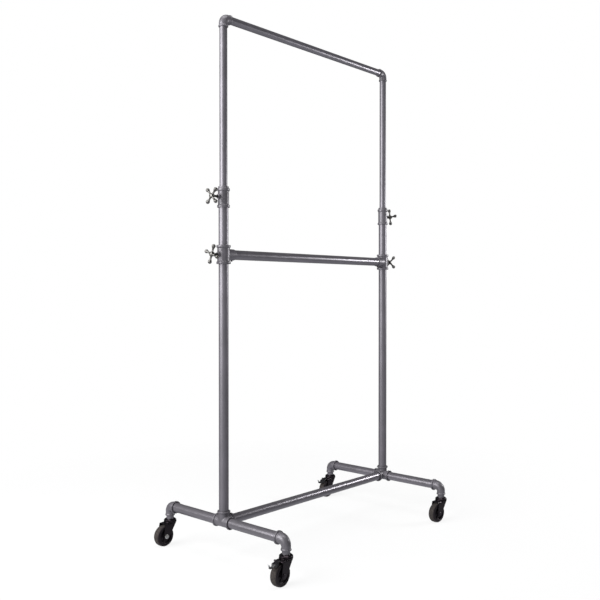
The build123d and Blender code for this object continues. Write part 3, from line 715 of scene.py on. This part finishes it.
def forks():
    """Pressed forks with the lower races, and on braked casters the pedal's lugs."""
    sheet = settled("fork_sheet", mesh_of("fork_sheet", fork_sheet()),
                    [("SOLIDIFY", {"thickness": SHEET * MM, "offset": -1.0}),
                     ("BEVEL", {"width": 0.5 * MM, "segments": 2, "limit_method": "ANGLE"})])
    race = rounded([(8, 81.5, 0), (18.5, 81.5, 0), (22.4, 82.6, 0.6), (23.3, 84, 0.6), (22.9, 85.3, 0.4),
                    (20, 85.3, 0), (8, 85.3, 0)])
    plain = [shell_of(sheet), lathe(race, 96, hollow=True)]
    inner = 9.4
    lug = rounded([(0, inner, 0), (3, inner, 0.4), (3, FORK_OUTER, 0.4), (0, FORK_OUTER, 0)], 2)
    web = [(0, inner), (2.2, inner), (2.2, FORK_OUTER), (0, FORK_OUTER)]
    lugs = []
    for facing in (FRONT, REAR):
        lugs.append(moved(lathe(lug, 32), Matrix.Translation(HINGE) @ facing))
        lugs.append(moved(lathe(web, 4), Matrix.Translation((-35.6, 0, 81.6)) @ facing))
    meshes = {False: mesh_of("fork_pressed", joined(plain)),
              True: mesh_of("fork_braked", joined(plain + lugs))}
    for corner in CORNERS:
        braked = f"brake_pedal_{corner}" in frame["nodes"]
        piece(f"fork_{corner}_pressed", meshes[braked], f"swivel_{corner}", "black_enamel", ENAMEL,
              caster_place(corner), f"fork_{corner}")


def hexagon(radius, low, high, corner_cut):
    """Hexagonal bar up Z whose top corners are turned off."""
    profile = [(0, low), (radius, low), (radius, high - corner_cut), (radius * 0.87, high), (0, high)]
    return lathe(profile, 6)


def axle_sets():
    """Axle bolts with washers, nuts and the hinge pins of the braked casters."""
    washer_out, nut_out, sleeve = 18.7, 22.5, 14.95
    washer = [(0, FORK_OUTER, 0), (8.4, FORK_OUTER, 0.2), (8.4, washer_out, 0.4), (0, washer_out, 0)]
    bolt = [moved(hexagon(7.0, washer_out, 22.0, 0.9), FRONT),
            moved(lathe(rounded(washer, 2), 48), FRONT),
            moved(lathe([(0, -FORK_OUTER), (4, -FORK_OUTER), (4, FORK_OUTER), (0, FORK_OUTER)], 32), FRONT),
            moved(lathe([(0, -sleeve), (6, -sleeve), (6, sleeve), (0, sleeve)], 32), FRONT),
            moved(hexagon(7.0, FORK_OUTER, nut_out, 0.9), REAR),
            moved(threaded(nut_out, 24.0, 3.9), REAR)]
    bolt = [moved(shell, Matrix.Translation((-TRAIL, 0, AXLE_LEVEL))) for shell in bolt]
    pin = rounded([(0, -18.1, 0), (1.5, -18.1, 0.4), (1.5, 18.1, 0.4), (0, 18.1, 0)], 2)
    pin = moved(lathe(pin, 24), Matrix.Translation(HINGE) @ FRONT)
    for corner in CORNERS:
        braked = f"brake_pedal_{corner}" in frame["nodes"]
        mesh = mesh_of(f"axle_set_{corner}_turned", joined(bolt + [pin] if braked else bolt), 25)
        zinc = corner == "rear_left"
        piece(f"axle_set_{corner}_turned", mesh, f"swivel_{corner}", "zinc_plate" if zinc else "black_oxide",
              ZINC if zinc else OXIDE, caster_place(corner), f"axle_set_{corner}")


def wheels():
    """Wheel cores with ribbed webs, and tyres with a crowned tread."""
    rim = rounded([(6.05, -14.5, 0), (10.5, -14.5, 1), (11.6, -7.6, 1.5), (23.6, -7.2, 2), (25, -13, 1),
                   (29, -13, 0), (29, 13, 0), (25, 13, 1), (23.6, 7.2, 2), (11.6, 7.6, 1.5),
                   (10.5, 14.5, 1), (6.05, 14.5, 0)])
    core = [lathe(rim, 96, hollow=True)]
    for step in range(6):
        turn = Matrix.Rotation(math.pi / 3 * step, 4, "Z")
        rib = lathe([(0, -10), (1.1, -10), (0.7, 10), (0, 10)], 12)
        stretched = Matrix.Translation((17.3, 0, 0)) @ Matrix.Diagonal((7.5, 1, 1, 1))
        core.append(moved(rib, turn @ stretched))
    core_mesh = mesh_of("wheel_core_moulded", joined(core))
    section = rounded([(29, -13.5, 0), (31.4, -13.5, 0.8), (34.4, -12.8, 1.4), (36.5, -9, 3), (TYRE_R, 0, 35),
                       (36.5, 9, 3), (34.4, 12.8, 1.4), (31.4, 13.5, 0.8), (29, 13.5, 0)], 6)
    tyre_mesh = mesh_of("tyre_moulded", lathe(section, 128, hollow=True))
    for corner in CORNERS:
        spot = caster_place(corner) @ Matrix.Translation((-TRAIL * MM, 0, TYRE_R * MM)) @ FRONT
        body = f"wheel_{corner}"
        piece(f"wheel_core_{corner}_moulded", core_mesh, body, "wheel_plastic", PLASTIC, spot,
              f"wheel_core_{corner}")
        piece(f"tyre_{corner}_moulded", tyre_mesh, body, "tyre_rubber", RUBBER, spot, f"tyre_{corner}")


def pedal_sheet():
    """The pedal's bent sheet, which narrows to a foot tab with a rounded end, as a grid of points."""
    path = rounded([(-40, 82.3, 0), (-62, 79, 3), (-70, 70, 2.5), (*TAB_ROOT, 3), (*TAB_TIP, 0)], 6)
    columns = 12
    points = []
    for index, spot in enumerate(path):
        from_tip = sum((path[n + 1] - path[n]).length for n in range(index, len(path) - 1))
        narrowed = min(1, max(0, (-61.5 - spot.x) / 3))
        width = 8.9 - 3.9 * narrowed ** 2 * (3 - 2 * narrowed)
        width -= 2.5 * max(0, 1 - from_tip / 3.5) ** 2
        for column in range(columns + 1):
            points.append(Vector((spot.x, width * (2 * column / columns - 1), spot.y)))
    return points, grid_faces(len(path) - 1, columns)


def brake_shoe():
    """Closed block under the sheet, hollowed to the tread."""
    outline = []
    for step in range(13):
        turn = math.radians(112.4 + 16 * step / 12)
        outline.append(Vector((-TRAIL + SHOE_R * math.cos(turn), AXLE_LEVEL + SHOE_R * math.sin(turn))))
    outline += [Vector((-54.5, 66.9)), Vector((-56.4, 79.8)), Vector((-45.6, 81.4))]
    return block(outline, 8)


def pedal_button():
    """Button under the root of the foot tab."""
    button = lathe(rounded([(0, -0.5, 0), (4.4, -0.5, 0), (4.4, 3.8, 1.8), (0, 4, 0)], 3), 32)
    rise = TAB_TIP - TAB_ROOT
    facing = Matrix.Rotation(math.atan2(-rise.y, rise.x), 4, "Y")
    return moved(button, Matrix.Translation((-79.6, 0, 73.5)) @ facing)


def pedals():
    """Brake pedals of bent sheet, each with its button, its shoe and the hinge barrel."""
    sheet = settled("pedal_sheet", mesh_of("pedal_sheet", pedal_sheet()),
                    [("SOLIDIFY", {"thickness": 2 * MM, "offset": 0.0}),
                     ("BEVEL", {"width": 0.4 * MM, "segments": 2, "limit_method": "ANGLE"})])
    barrel = lathe(rounded([(0, -9, 0), (3, -9, 0.4), (3, 9, 0.4), (0, 9, 0)], 2), 32)
    barrel = moved(barrel, Matrix.Translation(HINGE) @ FRONT)
    mesh = mesh_of("brake_pedal_bent", joined([shell_of(sheet), barrel, brake_shoe(), pedal_button()]))
    for corner in CORNERS:
        if f"brake_pedal_{corner}" in frame["nodes"]:
            piece(f"brake_pedal_{corner}_bent", mesh, f"pedal_{corner}", "pedal_steel", PEDAL,
                  caster_place(corner), f"brake_pedal_{corner}")


# ------------------------------------------------------------------ the object
def paint_packed():
    """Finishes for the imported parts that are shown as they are."""
    finishes = {"pipe_paint": PIPE, "fitting_paint": CAST, "handle_metal": HANDLE, "zinc_plate": ZINC,
                "black_oxide": OXIDE, "black_enamel": ENAMEL, "pedal_steel": PEDAL, "wheel_plastic": PLASTIC,
                "tyre_rubber": RUBBER, "brass": BRASS, "bearing_steel": BALL_STEEL, "guide_plastic": GUIDE}
    slots = {row["node"]: row["material_slot"] for row in frame["record"]["subparts"]}
    for name, packed in frame["nodes"].items():
        slides = name.startswith(("lower_upright", "upper_upright"))
        finish = SLIDING_PIPE if slides else finishes[slots[name]]
        packed.data.materials.clear()
        packed.data.materials.append(finish)


# ------------------------------------------------------------------ stage, light and camera
def stage():
    """Floor that only just takes a shadow, and fades into the white of the backdrop."""
    mesh = bpy.data.meshes.new("floor")
    reach = 2
    mesh.from_pydata([(-reach, -reach, 0), (reach, -reach, 0), (reach, reach, 0), (-reach, reach, 0)], [],
                     [[0, 1, 2, 3]])
    floor = bpy.data.objects.new("floor", mesh)
    bpy.context.scene.collection.objects.link(floor)
    made, tree, shader = material("floor_card", Base_Color=(0.86, 0.86, 0.86, 1), Roughness=0.9)
    place = add(tree, "TexCoord").outputs["Object"]
    away = add(tree, "VectorMath", {0: place}, operation="LENGTH").outputs["Value"]
    fade = spread(tree, away, 0.86, 1, 0.7, 1.9)
    clear = add(tree, "BsdfTransparent")
    mixed = add(tree, "MixShader", {0: fade, 1: shader.outputs[0], 2: clear.outputs[0]})
    tree.links.new(mixed.outputs[0], tree.nodes["Material Output"].inputs["Surface"])
    mesh.materials.append(made)


def backdrop():
    """White behind the object, a dim light around it and a glow from the floor below."""
    world = bpy.data.worlds.new("studio")
    bpy.context.scene.world = world
    world.use_nodes = True
    tree = world.node_tree
    seen = add(tree, "LightPath").outputs["Is Camera Ray"]
    toward = add(tree, "TexCoord").outputs["Generated"]
    below = add(tree, "VectorMath", {0: toward, 1: (-0.2, -0.25, -0.95)}, operation="DOT_PRODUCT")
    level = spread(tree, below.outputs["Value"], 0.08, 0.82, 0.05, 0.7)
    around = add(tree, "Background", {"Color": (0.93, 0.94, 1, 1), "Strength": level})
    behind = tree.nodes["Background"]
    behind.inputs["Color"].default_value = (1, 1, 1, 1)
    behind.inputs["Strength"].default_value = 1.0
    mixed = add(tree, "MixShader", {0: seen, 1: around.outputs[0], 2: behind.outputs[0]})
    tree.links.new(mixed.outputs[0], tree.nodes["World Output"].inputs["Surface"])


def softbox(name, spot, target, width, height, power):
    """Rectangular area light at a spot, facing a target."""
    light = bpy.data.lights.new(name, "AREA")
    light.shape = "RECTANGLE"
    light.size, light.size_y, light.energy = width, height, power
    made = bpy.data.objects.new(name, light)
    bpy.context.scene.collection.objects.link(made)
    made.location = spot
    made.rotation_euler = (Vector(target) - Vector(spot)).to_track_quat("-Z", "Y").to_euler()


def lights():
    """A large softbox to the left, one overhead, a small one to the right and a weak fill."""
    middle = (0, 0, 1.0)
    softbox("key", (-3.0, 0.7, 1.9), (0, 0, 1.1), 2.6, 2.4, 185)
    softbox("top", (-0.6, -0.4, 4.2), (0, 0, 0), 3.0, 2.0, 75)
    softbox("strip", (2.45, -1.3, 1.36), middle, 0.65, 0.6, 40)
    softbox("fill", (-1.6, -3.4, 1.2), middle, 2.4, 1.8, 4)


def camera():
    """The photograph's view: nearly level, a little below the lower rail, from the front left."""
    data = bpy.data.cameras.new("camera")
    data.lens, data.sensor_width = 46.58, 36.0
    made = bpy.data.objects.new("camera", data)
    bpy.context.scene.collection.objects.link(made)
    made.location = (-2.2411, -1.9573, 0.9221)
    made.rotation_euler = (math.radians(90 - 0.614), 0, math.radians(-47.97))
    bpy.context.scene.camera = made


paint_packed()
base_tees()
foot_elbows()
top_elbows()
clamp_collars()
slide_tees()
cross_handles()
clamp_studs()
caster_stems()
forks()
axle_sets()
wheels()
pedals()
stage()
backdrop()
lights()
camera()
bpy.context.scene.view_settings.view_transform = "Standard"
